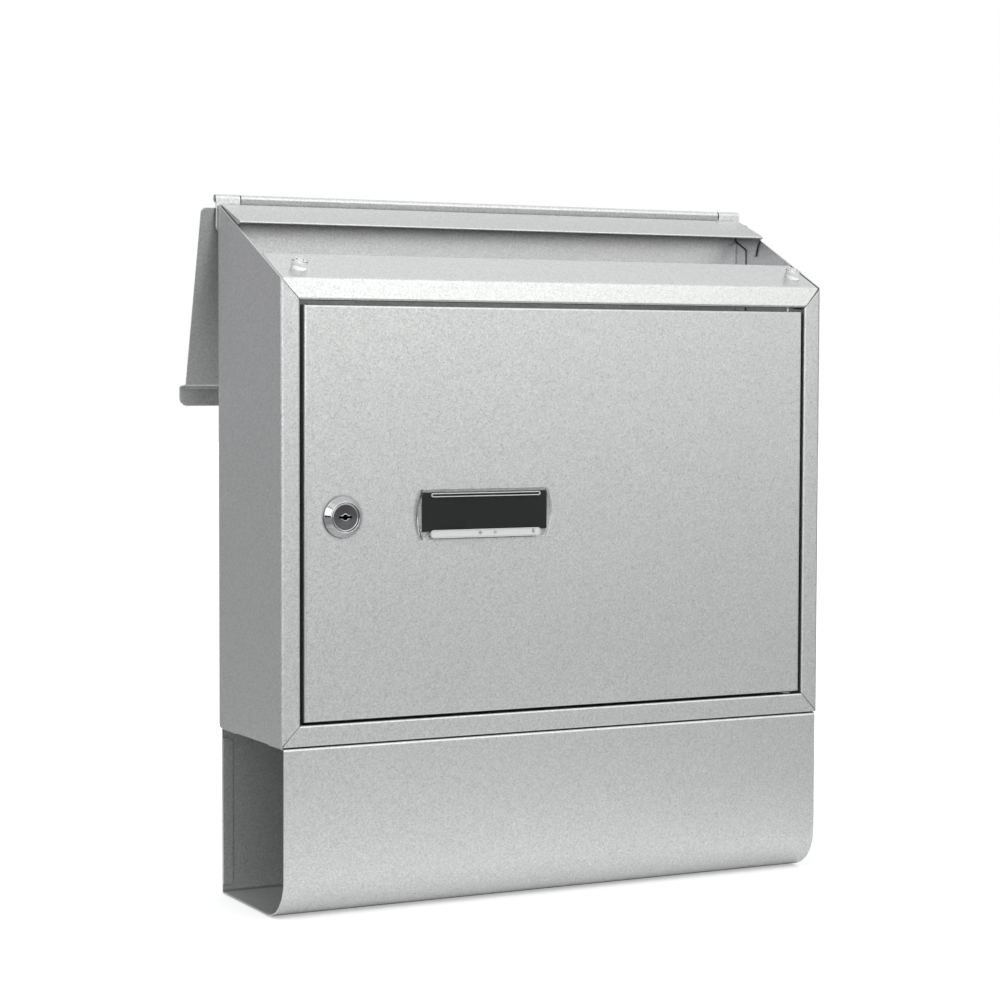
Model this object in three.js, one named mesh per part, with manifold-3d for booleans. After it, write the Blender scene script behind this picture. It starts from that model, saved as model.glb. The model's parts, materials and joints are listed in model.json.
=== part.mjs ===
// Wall-mounted mailbox: a sheet-steel box with a mail slot in its sloping top, a hinged rain lid,
// a locking front door and an open newspaper holder underneath.
// Millimetres, +Z up. The wall is behind the box, against Y = 0, and the front faces -Y.
// The origin is on the back panel's outer face, on its centre line and level with the lock.

import * as THREE from 'three';
import { mergeVertices } from 'three/addons/utils/BufferGeometryUtils.js';
import Module from 'manifold-3d';

const wasm = await Module();
wasm.setup();

// ---------------------------------------------------------------- driving dimensions

// Heights are counted from the bottom of the box, where the newspaper holder begins.
const ORIGIN_HEIGHT = 130;
const BODY_WIDTH = 362;
const BODY_DEPTH = 96.6;
const BACK_HEIGHT = 310.6;
const FRONT_HEIGHT = 264.6;
const SHEET = 0.9;
const GAP = 0.3;

// Front frame: two stiles, a bottom rail and a top rail round the door.
const OPENING_HALF_WIDTH = 169.2;
const OPENING_BOTTOM = 12.2;
const OPENING_TOP = 252.6;
const STILE_RETURN = 16.2;
const RAIL_RETURN = 13;
const MITRE_GAP = 0.4;
const RAIL_TILT = 1.3;
const CORNER_BEND = 1.8;
const SMALL_BEND = 1.2;

// Sloping top: a rear hood, the mail slot and a front band.
const HOOD_REACH = 32.4;
const HOOD_EDGE_HEIGHT = 299.3;
const HOOD_BACK_HEIGHT = 311;
const HOOD_HEM = 8;
const EAR_DEPTH = 12;
const EAR_REACH = 24.4;
const SLOT_FRONT = 64;
const BAND_FLANGE = 6;
const SIDE_FLANGE = 10;
const EDGE_ROUND = 1.4;

// Back panel and its wall screw holes.
const BACK_FLANGE = 12;
const BACK_TOP = 309.8;
const FLANGE_NOTCH = 10.6;
const WALL_HOLE_RADIUS = 3.2;
const WALL_HOLE_X = 125;
const WALL_HOLE_HEIGHTS = [50, 250];

// Lid hinge along X, behind and above the back panel's top edge.
const HINGE_Y = 2.7;
const HINGE_Z = 314.3;
const BRACKET_SHEET = 1.2;
const BRACKET_CURL = 2.4;
const BRACKET_INNER = 166.8;
const BRACKET_OUTER = 182.2;
const BRACKET_BOTTOM = 294.7;
const HINGE_PIN_RADIUS = 1;
const LID_CURL = 2.25;
const LID_CURL_HALF_WIDTH = 166.2;
const LID_HALF_WIDTH = 190.7;
const LID_SHOULDER = 5.35;
const LID_PANEL = 114.2;
const LID_DROP = 10.6;
const LID_DROP_TURN = 69.4;
const LID_LIP = 11;
const LID_LEAN = 14.6;

// Clear bumpers that the closed lid rests on.
const BUMPER_RADIUS = 4.7;
const BUMPER_HEIGHT = 5;
const BUMPERS = [
  { name: 'left', x: -165, downSlope: 93 },
  { name: 'right', x: 168.6, downSlope: 91.2 },
];

// Front door and its pivots.
const DOOR_LEFT = -166.8;
const DOOR_RIGHT = 167.2;
const DOOR_BOTTOM = 13.7;
const DOOR_TOP = 250.1;
const DOOR_DEPTH = 12;
const DOOR_HINGE_FLANGE = 9;
const DOOR_BEND = 1.4;
const PIVOT_X = 160.3;
const PIVOT_SETBACK = 6;
const PIVOT_RADIUS = 1.3;
const PIVOT_HOLE = 1.6;

// Cam lock. Its parts are measured along the lock's own axis, outwards from the door's front face.
const LOCK_X = -143.5;
const LOCK_Z = ORIGIN_HEIGHT;
const BARREL_RADIUS = 9.35;
const BARREL_LENGTH = 16;
const BEZEL_RADIUS = 11.8;
const BEZEL_HEIGHT = 5.3;
const PLUG_HEAD_RADIUS = 8.1;
const PLUG_RADIUS = 6;
const CAM_LENGTH = 31;
const CAM_THICKNESS = 1.8;
const CAM_SQUARE = 7;

// Name plate: a clear holder over a dark card.
const PLATE_CENTRE_X = -53.55;
const PLATE_CENTRE_Z = 130.2;
const PLATE_HALF_WIDTH = 40.6;
const PLATE_WING = 3.2;
const PLATE_HALF_HEIGHT = 14.4;
const PLATE_THICKNESS = 2.6;
const CARD_HALF_WIDTH = 40.6;
const CARD_HALF_HEIGHT = 11.2;
const CARD_RAISE = 1.4;
const CARD_POCKET = 1.2;
const CARD_THICKNESS = 0.5;

// Newspaper holder under the box.
const HOLDER_HALF_WIDTH = 179.4;
const HOLDER_DEPTH = 99.7;
const HOLDER_CURVE = 25;
const HOLDER_FLANGE = 24;
const HEM_WIDTH = 6.2;
const HEM_TOP = -6.6;
const HEM_BOTTOM = -94.6;
const RIVET_X = 120;
const RIVET_INSET = 15;
const RIVET_RADIUS = 1.7;
const RIVET_HOLE = 2;
const RIVET_HEAD = 3.4;

// Curves turn at most this much from one flat to the next.
const ARC_STEP = Math.PI / 12;
const ROUND_SIDES = 40;
const SMALL_SIDES = 20;

const HALF_WIDTH = BODY_WIDTH / 2;
const FIT_HALF_WIDTH = HALF_WIDTH - SHEET - GAP;
const SLOPE_ANGLE = Math.atan((BACK_HEIGHT - FRONT_HEIGHT) / BODY_DEPTH);
const SIDES = { left: -1, right: 1 };

// ---------------------------------------------------------------- finishes

const SILVER_PAINT = { color: 0xbcbebd, roughness: 0.42, metalness: 0.55 };
const STEEL = { color: 0xb4b6b8, roughness: 0.35, metalness: 0.9 };
const CHROME = { color: 0xd8dadc, roughness: 0.12, metalness: 1 };
const DARK_STEEL = { color: 0x5c5c5e, roughness: 0.4, metalness: 0.8 };
const NYLON = { color: 0xe4e4e0, roughness: 0.5, metalness: 0 };
const CLEAR_PLASTIC = { color: 0xe8ecec, roughness: 0.15, metalness: 0, transparent: true, opacity: 0.45 };
const CHARCOAL_CARD = { color: 0x363636, roughness: 0.6, metalness: 0 };

// ---------------------------------------------------------------- outlines

// Height of the side panels' sloping top edge at a depth y.
function slopeHeight(y) {
  return BACK_HEIGHT + y * Math.tan(SLOPE_ANGLE);
}

// Points on an arc round a centre, from one angle to another.
function arc(x, y, radius, from, to) {
  const steps = Math.max(2, Math.ceil(Math.abs(to - from) / ARC_STEP));
  return Array.from({ length: steps + 1 }, (_, i) => {
    const angle = from + ((to - from) * i) / steps;
    return new THREE.Vector2(x + radius * Math.cos(angle), y + radius * Math.sin(angle));
  });
}

function circle(x, y, radius, sides = ROUND_SIDES) {
  return Array.from({ length: sides }, (_, i) => {
    const angle = (2 * Math.PI * i) / sides;
    return new THREE.Vector2(x + radius * Math.cos(angle), y + radius * Math.sin(angle));
  });
}

function rectangle(left, bottom, right, top) {
  const corners = [[left, bottom], [right, bottom], [right, top], [left, top]];
  return corners.map((corner) => new THREE.Vector2(...corner));
}

// One corner of a path, rounded between its two neighbours.
function roundCorner(previous, corner, next, radius) {
  const back = previous.clone().sub(corner).normalize();
  const ahead = next.clone().sub(corner).normalize();
  const half = Math.acos(THREE.MathUtils.clamp(back.dot(ahead), -1, 1)) / 2;
  const centre = back.clone().add(ahead).normalize().multiplyScalar(radius / Math.sin(half)).add(corner);
  const tangent = radius / Math.tan(half);
  const start = back.multiplyScalar(tangent).add(corner).sub(centre).angle();
  const end = ahead.multiplyScalar(tangent).add(corner).sub(centre).angle();
  const sweep = Math.atan2(Math.sin(end - start), Math.cos(end - start));
  return arc(centre.x, centre.y, radius, start, start + sweep);
}

// A path through corners given as [x, y, radius]; a corner with no radius stays sharp.
function roundedPath(corners, closed) {
  const points = corners.map(([x, y]) => new THREE.Vector2(x, y));
  return points.flatMap((point, i) => {
    const radius = corners[i][2] ?? 0;
    const isEnd = !closed && (i === 0 || i === points.length - 1);
    if (radius === 0 || isEnd) {
      return [point];
    }
    return roundCorner(points.at(i - 1), point, points[(i + 1) % points.length], radius);
  });
}

// A bent sheet seen edge-on. The corners run along one face, and the sheet lies to the left of them.
function sheetOutline(corners, thickness) {
  const face = roundedPath(corners, false);
  const normals = face.slice(1).map((point, i) => {
    const along = point.clone().sub(face[i]).normalize();
    return new THREE.Vector2(-along.y, along.x);
  });
  const otherFace = face.map((point, i) => {
    const before = normals[Math.max(i - 1, 0)];
    const after = normals[Math.min(i, normals.length - 1)];
    const reach = thickness / (1 + before.dot(after));
    return before.clone().add(after).multiplyScalar(reach).add(point);
  });
  return [...face, ...otherFace.reverse()];
}

// A curl of sheet round a hinge pin, seen end-on.
function curlOutline(x, y, radius, thickness, from, to) {
  return [...arc(x, y, radius, from, to), ...arc(x, y, radius - thickness, to, from)];
}

// ---------------------------------------------------------------- solids

// Directions of an outline's first and second coordinate and of its extrusion.
const X_AXIS = new THREE.Vector3(1, 0, 0);
const Y_AXIS = new THREE.Vector3(0, 1, 0);
const Z_AXIS = new THREE.Vector3(0, 0, 1);
const SLOPE_NORMAL = new THREE.Vector3(0, -Math.sin(SLOPE_ANGLE), Math.cos(SLOPE_ANGLE));
const DOWN_SLOPE = new THREE.Vector3(0, -Math.cos(SLOPE_ANGLE), -Math.sin(SLOPE_ANGLE));

// A closed mesh as a solid that can be joined and cut.
function solid(geometry) {
  geometry.deleteAttribute('normal');
  geometry.deleteAttribute('uv');
  const merged = mergeVertices(geometry, 1e-5);
  const corners = merged.index.array;
  const triangles = [];
  for (let i = 0; i < corners.length; i += 3) {
    const [a, b, c] = corners.subarray(i, i + 3);
    if (a !== b && b !== c && c !== a) {
      triangles.push(a, b, c);
    }
  }
  return new wasm.Manifold(new wasm.Mesh({
    numProp: 3,
    vertProperties: merged.attributes.position.array,
    triVerts: Uint32Array.from(triangles),
  }));
}

function extrude(outline, depth, across, up, along, origin, holes = []) {
  const shape = new THREE.Shape(outline);
  shape.holes = holes.map((hole) => new THREE.Path(hole));
  const geometry = new THREE.ExtrudeGeometry(shape, { depth, bevelEnabled: false });
  const frame = new THREE.Matrix4().makeBasis(across, up, along);
  return solid(geometry.applyMatrix4(frame.setPosition(origin)));
}

// An outline in (Y, Z), extruded along X.
function alongX(outline, from, to) {
  return extrude(outline, to - from, Y_AXIS, Z_AXIS, X_AXIS, new THREE.Vector3(from, 0, 0));
}

// An outline in (X, Z), extruded along Y.
function alongY(outline, from, to) {
  const towardsFront = Y_AXIS.clone().negate();
  return extrude(outline, to - from, X_AXIS, Z_AXIS, towardsFront, new THREE.Vector3(0, to, 0));
}

// An outline in (X, Y), extruded along Z.
function alongZ(outline, from, to, holes = []) {
  return extrude(outline, to - from, X_AXIS, Y_AXIS, Z_AXIS, new THREE.Vector3(0, 0, from), holes);
}

// An outline in (X, height above the slope), extruded down the slope from the box's top edge.
function alongSlope(outline, from, to) {
  const origin = DOWN_SLOPE.clone().multiplyScalar(from).add(new THREE.Vector3(0, 0, BACK_HEIGHT));
  return extrude(outline, to - from, X_AXIS, SLOPE_NORMAL, DOWN_SLOPE, origin);
}

// A profile of [radius, height] pairs turned round Z. The pairs run up the outside.
function turned(profile, sides = ROUND_SIDES) {
  const points = profile.map(([radius, height]) => new THREE.Vector2(radius, height));
  return solid(new THREE.LatheGeometry(points, sides).rotateX(Math.PI / 2));
}

// A ring round Z, whose profile closes on itself.
function turnedRing(profile, sides = ROUND_SIDES) {
  return turned([...profile, profile[0]], sides);
}

function union(first, ...others) {
  return others.reduce((sum, other) => sum.add(other), first);
}

function cut(first, ...others) {
  return others.reduce((rest, other) => rest.subtract(other), first);
}

// The named mesh of one piece, with its own material.
function piece(name, shape, finish) {
  const mesh = shape.getMesh();
  const geometry = new THREE.BufferGeometry();
  geometry.setAttribute('position', new THREE.BufferAttribute(mesh.vertProperties, 3));
  geometry.setIndex(new THREE.BufferAttribute(mesh.triVerts, 1));
  geometry.computeVertexNormals();
  const node = new THREE.Mesh(geometry, new THREE.MeshStandardMaterial(finish));
  node.name = name;
  return node;
}

// ---------------------------------------------------------------- box shell

// Side panel with its front stile, and the stile's return that the lock's cam catches behind.
function sidePanel(side) {
  const plan = sheetOutline([
    [-HALF_WIDTH, 0],
    [-HALF_WIDTH, -BODY_DEPTH, CORNER_BEND],
    [-OPENING_HALF_WIDTH, -BODY_DEPTH, SMALL_BEND],
    [-OPENING_HALF_WIDTH, -BODY_DEPTH + STILE_RETURN],
  ], SHEET);
  const mirrored = plan.map((point) => new THREE.Vector2(-side * point.x, point.y));
  const pastFront = -BODY_DEPTH - 1;
  const silhouette = roundedPath([
    [0, 0, 2.5],
    [pastFront, 0],
    [pastFront, slopeHeight(pastFront)],
    [0, BACK_HEIGHT, 1.5],
  ], true);
  const sideView = alongX(silhouette, -HALF_WIDTH - 1, HALF_WIDTH + 1);
  const sheet = alongZ(mirrored, 0, BACK_HEIGHT).intersect(sideView);
  const wall = side * (HALF_WIDTH - SHEET);
  const inner = side * OPENING_HALF_WIDTH;
  const middle = side * (OPENING_HALF_WIDTH - 10);
  const endCut = (outer, sill, beyond) => alongY([
    new THREE.Vector2(wall, outer),
    new THREE.Vector2(inner, sill),
    new THREE.Vector2(middle, sill),
    new THREE.Vector2(middle, beyond),
    new THREE.Vector2(wall, beyond),
  ], pastFront, -BODY_DEPTH + STILE_RETURN + 1);
  return cut(
    sheet,
    endCut(SHEET + MITRE_GAP, OPENING_BOTTOM + MITRE_GAP, -1),
    endCut(FRONT_HEIGHT - GAP - MITRE_GAP, OPENING_TOP - MITRE_GAP, BACK_HEIGHT),
  );
}

// Back panel: flanges fold forward inside the side panels, and four holes take the wall screws.
function backPanel() {
  const plan = sheetOutline([
    [FIT_HALF_WIDTH, -BACK_FLANGE],
    [FIT_HALF_WIDTH, 0, CORNER_BEND],
    [-FIT_HALF_WIDTH, 0, CORNER_BEND],
    [-FIT_HALF_WIDTH, -BACK_FLANGE],
  ], SHEET);
  const sheet = alongZ(plan, 0, BACK_TOP);
  const slopeTop = [
    [1, BACK_TOP + 5],
    [1, BACK_TOP + 1],
    [-SHEET, BACK_TOP],
    [-SHEET, slopeHeight(-SHEET) - EAR_DEPTH - 1],
    [-BACK_FLANGE - 1, slopeHeight(-BACK_FLANGE - 1) - EAR_DEPTH - 1],
    [-BACK_FLANGE - 1, BACK_TOP + 5],
  ].map(([y, z]) => new THREE.Vector2(y, z));
  const notch = rectangle(-BACK_FLANGE - 1, -1, -SHEET, FLANGE_NOTCH);
  const wallHoles = Object.values(SIDES).flatMap((side) => WALL_HOLE_HEIGHTS.map((height) => (
    alongY(circle(side * WALL_HOLE_X, height, WALL_HOLE_RADIUS, SMALL_SIDES), -SHEET - 1, 1)
  )));
  return cut(
    sheet,
    alongX(slopeTop, -HALF_WIDTH, HALF_WIDTH),
    alongX(notch, -HALF_WIDTH, HALF_WIDTH),
    ...wallHoles,
  );
}

// Round hole for the door's pivot pins.
function pivotHole(from, to) {
  return alongZ(circle(PIVOT_X, -BODY_DEPTH + PIVOT_SETBACK, PIVOT_HOLE, SMALL_SIDES), from, to);
}

// What the mitre takes off one end of a rail, beyond the line from its outer to its inner corner.
function railMitre(side, outer, sill, beyond) {
  return alongY([
    new THREE.Vector2(side * FIT_HALF_WIDTH, outer),
    new THREE.Vector2(side * OPENING_HALF_WIDTH, sill),
    new THREE.Vector2(side * OPENING_HALF_WIDTH, beyond),
    new THREE.Vector2(side * (HALF_WIDTH + 1), beyond),
    new THREE.Vector2(side * (HALF_WIDTH + 1), outer),
  ], -BODY_DEPTH - 1, -BODY_DEPTH + STILE_RETURN);
}

// Floor of the box with the frame's bottom rail folded up in front and flanges at the back and sides.
function bottomPanel() {
  const backEdge = -SHEET - GAP;
  const profile = sheetOutline([
    [-BODY_DEPTH + RAIL_RETURN, OPENING_BOTTOM],
    [-BODY_DEPTH, OPENING_BOTTOM, SMALL_BEND],
    [-BODY_DEPTH, 0, SMALL_BEND],
    [backEdge, 0, SMALL_BEND],
    [backEdge, SIDE_FLANGE],
  ], SHEET);
  const floor = cut(
    alongX(profile, -FIT_HALF_WIDTH, FIT_HALF_WIDTH),
    ...Object.values(SIDES).map((side) => railMitre(side, SHEET, OPENING_BOTTOM, OPENING_BOTTOM + 5)),
    ...Object.values(SIDES).map((side) => {
      const ends = [side * (FIT_HALF_WIDTH - SHEET - GAP), side * (FIT_HALF_WIDTH + 1)].sort((a, b) => a - b);
      return alongX(rectangle(backEdge - SHEET - 1, SHEET, 0, SIDE_FLANGE + 1), ...ends);
    }),
  );
  const flange = rectangle(-BODY_DEPTH + STILE_RETURN + GAP, 0, -BACK_FLANGE - GAP, SIDE_FLANGE);
  return cut(
    union(
      floor,
      alongX(flange, FIT_HALF_WIDTH - SHEET, FIT_HALF_WIDTH),
      alongX(flange, -FIT_HALF_WIDTH, -FIT_HALF_WIDTH + SHEET),
    ),
    ...rivetPlaces().map(({ x, y }) => alongZ(circle(x, y, RIVET_HOLE, SMALL_SIDES), -1, SHEET + 1)),
    pivotHole(SHEET + 1, OPENING_BOTTOM + 1),
  );
}

// Rounds the long edge between a sloping cover's top and its side flange.
function slopeEdgeRound(side, radius, lift) {
  const edge = side * FIT_HALF_WIDTH;
  const centre = edge - side * radius;
  const from = side > 0 ? 0 : Math.PI;
  const quarter = arc(centre, lift - radius, radius, from, Math.PI / 2);
  const corner = [new THREE.Vector2(centre, lift + 5), new THREE.Vector2(edge + side, lift + 5)];
  const outside = new THREE.Vector2(edge + side, lift - radius);
  return [...quarter, ...corner, outside];
}

// Front band of the sloping top: it folds over into the frame's top rail.
function frontTopCover() {
  const slotEdge = [-SLOT_FRONT, slopeHeight(-SLOT_FRONT)];
  const inwards = SLOPE_NORMAL.clone().multiplyScalar(-BAND_FLANGE);
  const cornerY = -BODY_DEPTH + RAIL_TILT;
  const profile = sheetOutline([
    [slotEdge[0] + inwards.y, slotEdge[1] + inwards.z],
    [...slotEdge, SMALL_BEND],
    [cornerY, slopeHeight(cornerY), CORNER_BEND],
    [-BODY_DEPTH - GAP, OPENING_TOP, SMALL_BEND],
    [-BODY_DEPTH + RAIL_RETURN, OPENING_TOP],
  ], SHEET);
  const sheet = cut(
    alongX(profile, -FIT_HALF_WIDTH, FIT_HALF_WIDTH),
    ...Object.values(SIDES).map((side) => railMitre(side, FRONT_HEIGHT - GAP, OPENING_TOP, OPENING_TOP - 5)),
  );
  const flangeBack = -SLOT_FRONT - SHEET;
  const flangeFront = -BODY_DEPTH + STILE_RETURN + GAP;
  const flange = [
    [flangeBack, slopeHeight(flangeBack) - SHEET / 2],
    [flangeBack, slopeHeight(flangeBack) - SIDE_FLANGE],
    [flangeFront, slopeHeight(flangeFront) - SIDE_FLANGE],
    [flangeFront, slopeHeight(flangeFront) - SHEET / 2],
  ].map(([y, z]) => new THREE.Vector2(y, z));
  return cut(
    union(
      sheet,
      alongX(flange, FIT_HALF_WIDTH - SHEET, FIT_HALF_WIDTH),
      alongX(flange, -FIT_HALF_WIDTH, -FIT_HALF_WIDTH + SHEET),
    ),
    ...Object.values(SIDES).map((side) => alongSlope(slopeEdgeRound(side, EDGE_ROUND, 0), 0, 2 * BODY_DEPTH)),
    pivotHole(OPENING_TOP - 1, OPENING_TOP + 2),
  );
}

// Rear hood over the mail slot. Its ears fold down inside the side panels.
function rearTopCover() {
  const back = -SHEET - GAP;
  const edge = new THREE.Vector2(-HOOD_REACH, HOOD_EDGE_HEIGHT);
  const downHood = edge.clone().sub(new THREE.Vector2(back, HOOD_BACK_HEIGHT)).normalize();
  const below = new THREE.Vector2(-downHood.y, downHood.x);
  const sheet = alongX(sheetOutline([
    [back, HOOD_BACK_HEIGHT - SIDE_FLANGE],
    [back, HOOD_BACK_HEIGHT, SMALL_BEND],
    [edge.x - downHood.x, edge.y - downHood.y],
  ], SHEET), -FIT_HALF_WIDTH, FIT_HALF_WIDTH);
  const hemBack = edge.clone().addScaledVector(downHood, -HOOD_HEM);
  const hem = roundedPath([
    [hemBack.x, hemBack.y],
    [edge.x, edge.y, SHEET * 0.95],
    [edge.x + 2 * SHEET * below.x, edge.y + 2 * SHEET * below.y, SHEET * 0.95],
    [hemBack.x + 2 * SHEET * below.x, hemBack.y + 2 * SHEET * below.y],
  ], true);
  const earTip = [-EAR_REACH, slopeHeight(-EAR_REACH) - EAR_DEPTH];
  const earFront = new THREE.QuadraticBezierCurve(
    new THREE.Vector2(edge.x + SHEET, edge.y - SHEET),
    new THREE.Vector2(-EAR_REACH - 2, slopeHeight(-EAR_REACH) - 2),
    new THREE.Vector2(...earTip),
  ).getPoints(8);
  const ear = [
    ...earFront,
    new THREE.Vector2(back - GAP, slopeHeight(back) - EAR_DEPTH),
    new THREE.Vector2(back - GAP, HOOD_BACK_HEIGHT - SHEET),
  ];
  return union(
    sheet,
    alongX(hem, -FIT_HALF_WIDTH, FIT_HALF_WIDTH),
    alongX(ear, FIT_HALF_WIDTH - SHEET, FIT_HALF_WIDTH),
    alongX(ear, -FIT_HALF_WIDTH, -FIT_HALF_WIDTH + SHEET),
  );
}

// ---------------------------------------------------------------- lid

// Fixed half of the lid hinge: a leaf on the back panel that curls over the pin.
function hingeBracket(side) {
  const leafFront = HINGE_Y - BRACKET_CURL;
  const leaf = rectangle(leafFront, BRACKET_BOTTOM, leafFront + BRACKET_SHEET, HINGE_Z);
  const curl = curlOutline(HINGE_Y, HINGE_Z, BRACKET_CURL, BRACKET_SHEET, Math.PI, -Math.PI * 0.55);
  const ends = [side * BRACKET_INNER, side * BRACKET_OUTER].sort((a, b) => a - b);
  const face = roundedPath([
    [ends[0], BRACKET_BOTTOM, 3],
    [ends[1], BRACKET_BOTTOM, 3],
    [ends[1], HINGE_Z + 5],
    [ends[0], HINGE_Z + 5],
  ], true);
  return union(alongX(leaf, ...ends), alongX(curl, ...ends)).intersect(alongY(face, -1, HINGE_Y + 5));
}

function hingePin() {
  const half = BRACKET_OUTER + 0.3;
  return alongX(circle(HINGE_Y, HINGE_Z, HINGE_PIN_RADIUS, SMALL_SIDES), -half, half);
}

// The lid lies flat here: the pin's axis is at the origin, the panel runs towards -Y and its top is up.
function lid() {
  const dropTurn = THREE.MathUtils.degToRad(LID_DROP_TURN);
  const lipTurn = THREE.MathUtils.degToRad(LID_LEAN);
  const foldZ = LID_CURL - LID_DROP * Math.sin(dropTurn);
  const foldY = -LID_PANEL - LID_DROP * Math.cos(dropTurn);
  const lipEnd = foldY - LID_LIP * Math.cos(lipTurn);
  const profile = sheetOutline([
    [GAP, LID_CURL],
    [-LID_PANEL, LID_CURL, CORNER_BEND],
    [foldY, foldZ, SMALL_BEND],
    [lipEnd, foldZ + LID_LIP * Math.sin(lipTurn)],
  ], SHEET);
  const curl = curlOutline(0, 0, LID_CURL, SHEET, Math.PI / 2, -Math.PI * 1.05);
  const outline = roundedPath([
    [-LID_CURL_HALF_WIDTH, LID_CURL + 1],
    [-LID_CURL_HALF_WIDTH, -LID_SHOULDER, 0.8],
    [-LID_HALF_WIDTH, -LID_SHOULDER, 3],
    [-LID_HALF_WIDTH, lipEnd, 4.5],
    [LID_HALF_WIDTH, lipEnd, 4.5],
    [LID_HALF_WIDTH, -LID_SHOULDER, 3],
    [LID_CURL_HALF_WIDTH, -LID_SHOULDER, 0.8],
    [LID_CURL_HALF_WIDTH, LID_CURL + 1],
  ], true);
  const sheet = alongX(profile, -LID_HALF_WIDTH, LID_HALF_WIDTH);
  const knuckle = alongX(curl, -LID_CURL_HALF_WIDTH, LID_CURL_HALF_WIDTH);
  return union(sheet, knuckle).intersect(alongZ(outline, -20, 20));
}

// Clear stick-on bumper, standing on Z = 0, with a dimple in its top.
function bumper() {
  return turned([
    [0, 0],
    [BUMPER_RADIUS - 0.3, 0],
    [BUMPER_RADIUS, 0.3],
    [BUMPER_RADIUS, BUMPER_HEIGHT - 0.6],
    [BUMPER_RADIUS - 0.6, BUMPER_HEIGHT],
    [2.2, BUMPER_HEIGHT],
    [1.4, BUMPER_HEIGHT - 0.7],
    [0, BUMPER_HEIGHT - 0.7],
  ]);
}

// ---------------------------------------------------------------- door

// Door tray: one sheet with flanges folded back on its four sides.
function door() {
  const front = -BODY_DEPTH;
  const block = (inset, depth) => {
    const left = DOOR_LEFT + inset;
    const right = DOOR_RIGHT - inset;
    const bend = DOOR_BEND - inset;
    const plan = roundedPath([
      [left, front + depth],
      [left, front + inset, bend],
      [right, front + inset, bend],
      [right, front + depth],
    ], true);
    const profile = roundedPath([
      [front + depth, DOOR_BOTTOM + inset],
      [front + inset, DOOR_BOTTOM + inset, bend],
      [front + inset, DOOR_TOP - inset, bend],
      [front + depth, DOOR_TOP - inset],
    ], true);
    return alongZ(plan, DOOR_BOTTOM + inset, DOOR_TOP - inset).intersect(alongX(profile, left, right));
  };
  const beyond = front + DOOR_DEPTH + 1;
  const shortFlange = rectangle(DOOR_RIGHT - 2, front + DOOR_HINGE_FLANGE, DOOR_RIGHT + 1, beyond);
  return cut(
    block(0, DOOR_DEPTH),
    block(SHEET, DOOR_DEPTH + 1),
    alongZ(shortFlange, DOOR_BOTTOM - 1, DOOR_TOP + 1),
    pivotHole(DOOR_BOTTOM - 1, DOOR_TOP + 1),
    alongY(circle(LOCK_X, LOCK_Z, BARREL_RADIUS + GAP), front - 1, front + SHEET + 1),
  );
}

// Headed pivot pin, riveted in a rail's return; its head is at the bottom, below Z = 0.
function pivotPin(length) {
  return turned([
    [0, -1.5],
    [2.4, -1.5],
    [2.8, -1.1],
    [2.8, 0],
    [PIVOT_RADIUS, 0],
    [PIVOT_RADIUS, length - 0.4],
    [PIVOT_RADIUS - 0.4, length],
    [0, length],
  ], SMALL_SIDES);
}

function pivotWasher() {
  return turnedRing([[PIVOT_HOLE, 0], [4, 0], [4, 0.9], [PIVOT_HOLE, 0.9]], SMALL_SIDES);
}

// ---------------------------------------------------------------- cam lock
// Each part is turned round Z here: Z = 0 is the door's front face, and +Z leaves the door.

// Chromed bezel and barrel in one casting, bored for the plug.
function lockHousing() {
  const headBore = PLUG_HEAD_RADIUS + 0.25;
  const stemBore = PLUG_RADIUS + 0.25;
  return turnedRing([
    [stemBore, -BARREL_LENGTH],
    [BARREL_RADIUS - 0.4, -BARREL_LENGTH],
    [BARREL_RADIUS, -BARREL_LENGTH + 0.4],
    [BARREL_RADIUS, GAP],
    [BEZEL_RADIUS, GAP],
    [BEZEL_RADIUS, 1],
    [BEZEL_RADIUS - 0.4, 1.5],
    [headBore + 0.7, BEZEL_HEIGHT - 0.2],
    [headBore + 0.3, BEZEL_HEIGHT],
    [headBore, BEZEL_HEIGHT - 0.2],
    [headBore, 2.8],
    [stemBore, 2.8],
  ]);
}

// Plug that the key turns: a keyway in its head, a square and a screw hole at its back.
function lockPlug() {
  const back = -BARREL_LENGTH - GAP;
  const face = BEZEL_HEIGHT - 0.6;
  const body = turned([
    [0, back],
    [PLUG_RADIUS, back],
    [PLUG_RADIUS, 3.1],
    [PLUG_HEAD_RADIUS, 3.1],
    [PLUG_HEAD_RADIUS, face - 0.3],
    [PLUG_HEAD_RADIUS - 0.3, face],
    [0, face - 0.5],
  ]);
  const half = CAM_SQUARE / 2;
  const square = alongZ(rectangle(-half, -half, half, half), back - CAM_THICKNESS - 0.2, back + 1);
  const keyway = roundedPath([[-4, -0.7, 0.3], [4, -0.7, 0.3], [4, 0.7, 0.3], [-4, 0.7, 0.3]], true);
  return cut(
    union(body, square),
    alongZ(keyway, -10, BEZEL_HEIGHT + 1),
    alongZ(circle(0, 0, 1.7, SMALL_SIDES), -8, BEZEL_HEIGHT + 1),
    alongZ(circle(0, 0, 2, SMALL_SIDES), back - CAM_THICKNESS - 1, -12),
  );
}

function lockNut() {
  const hexagon = circle(0, 0, 13, 6);
  return alongZ(hexagon, -SHEET - GAP - 4, -SHEET - GAP, [circle(0, 0, BARREL_RADIUS + 0.25)]);
}

// Cam plate, pointing down when unlocked. It swings to the left, behind the stile's return.
function lockCam() {
  const hub = 8.5;
  const half = 7;
  const outline = [
    ...arc(0, 0, hub, -Math.acos(half / hub), Math.PI + Math.acos(half / hub)),
    ...roundedPath([[-half, -10], [-half, -CAM_LENGTH, 3], [half, -CAM_LENGTH, 3], [half, -10]], false),
  ];
  const hole = CAM_SQUARE / 2 + 0.25;
  const front = -BARREL_LENGTH - 2 * GAP;
  return alongZ(outline, front - CAM_THICKNESS, front, [rectangle(-hole, -hole, hole, hole)]);
}

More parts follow.
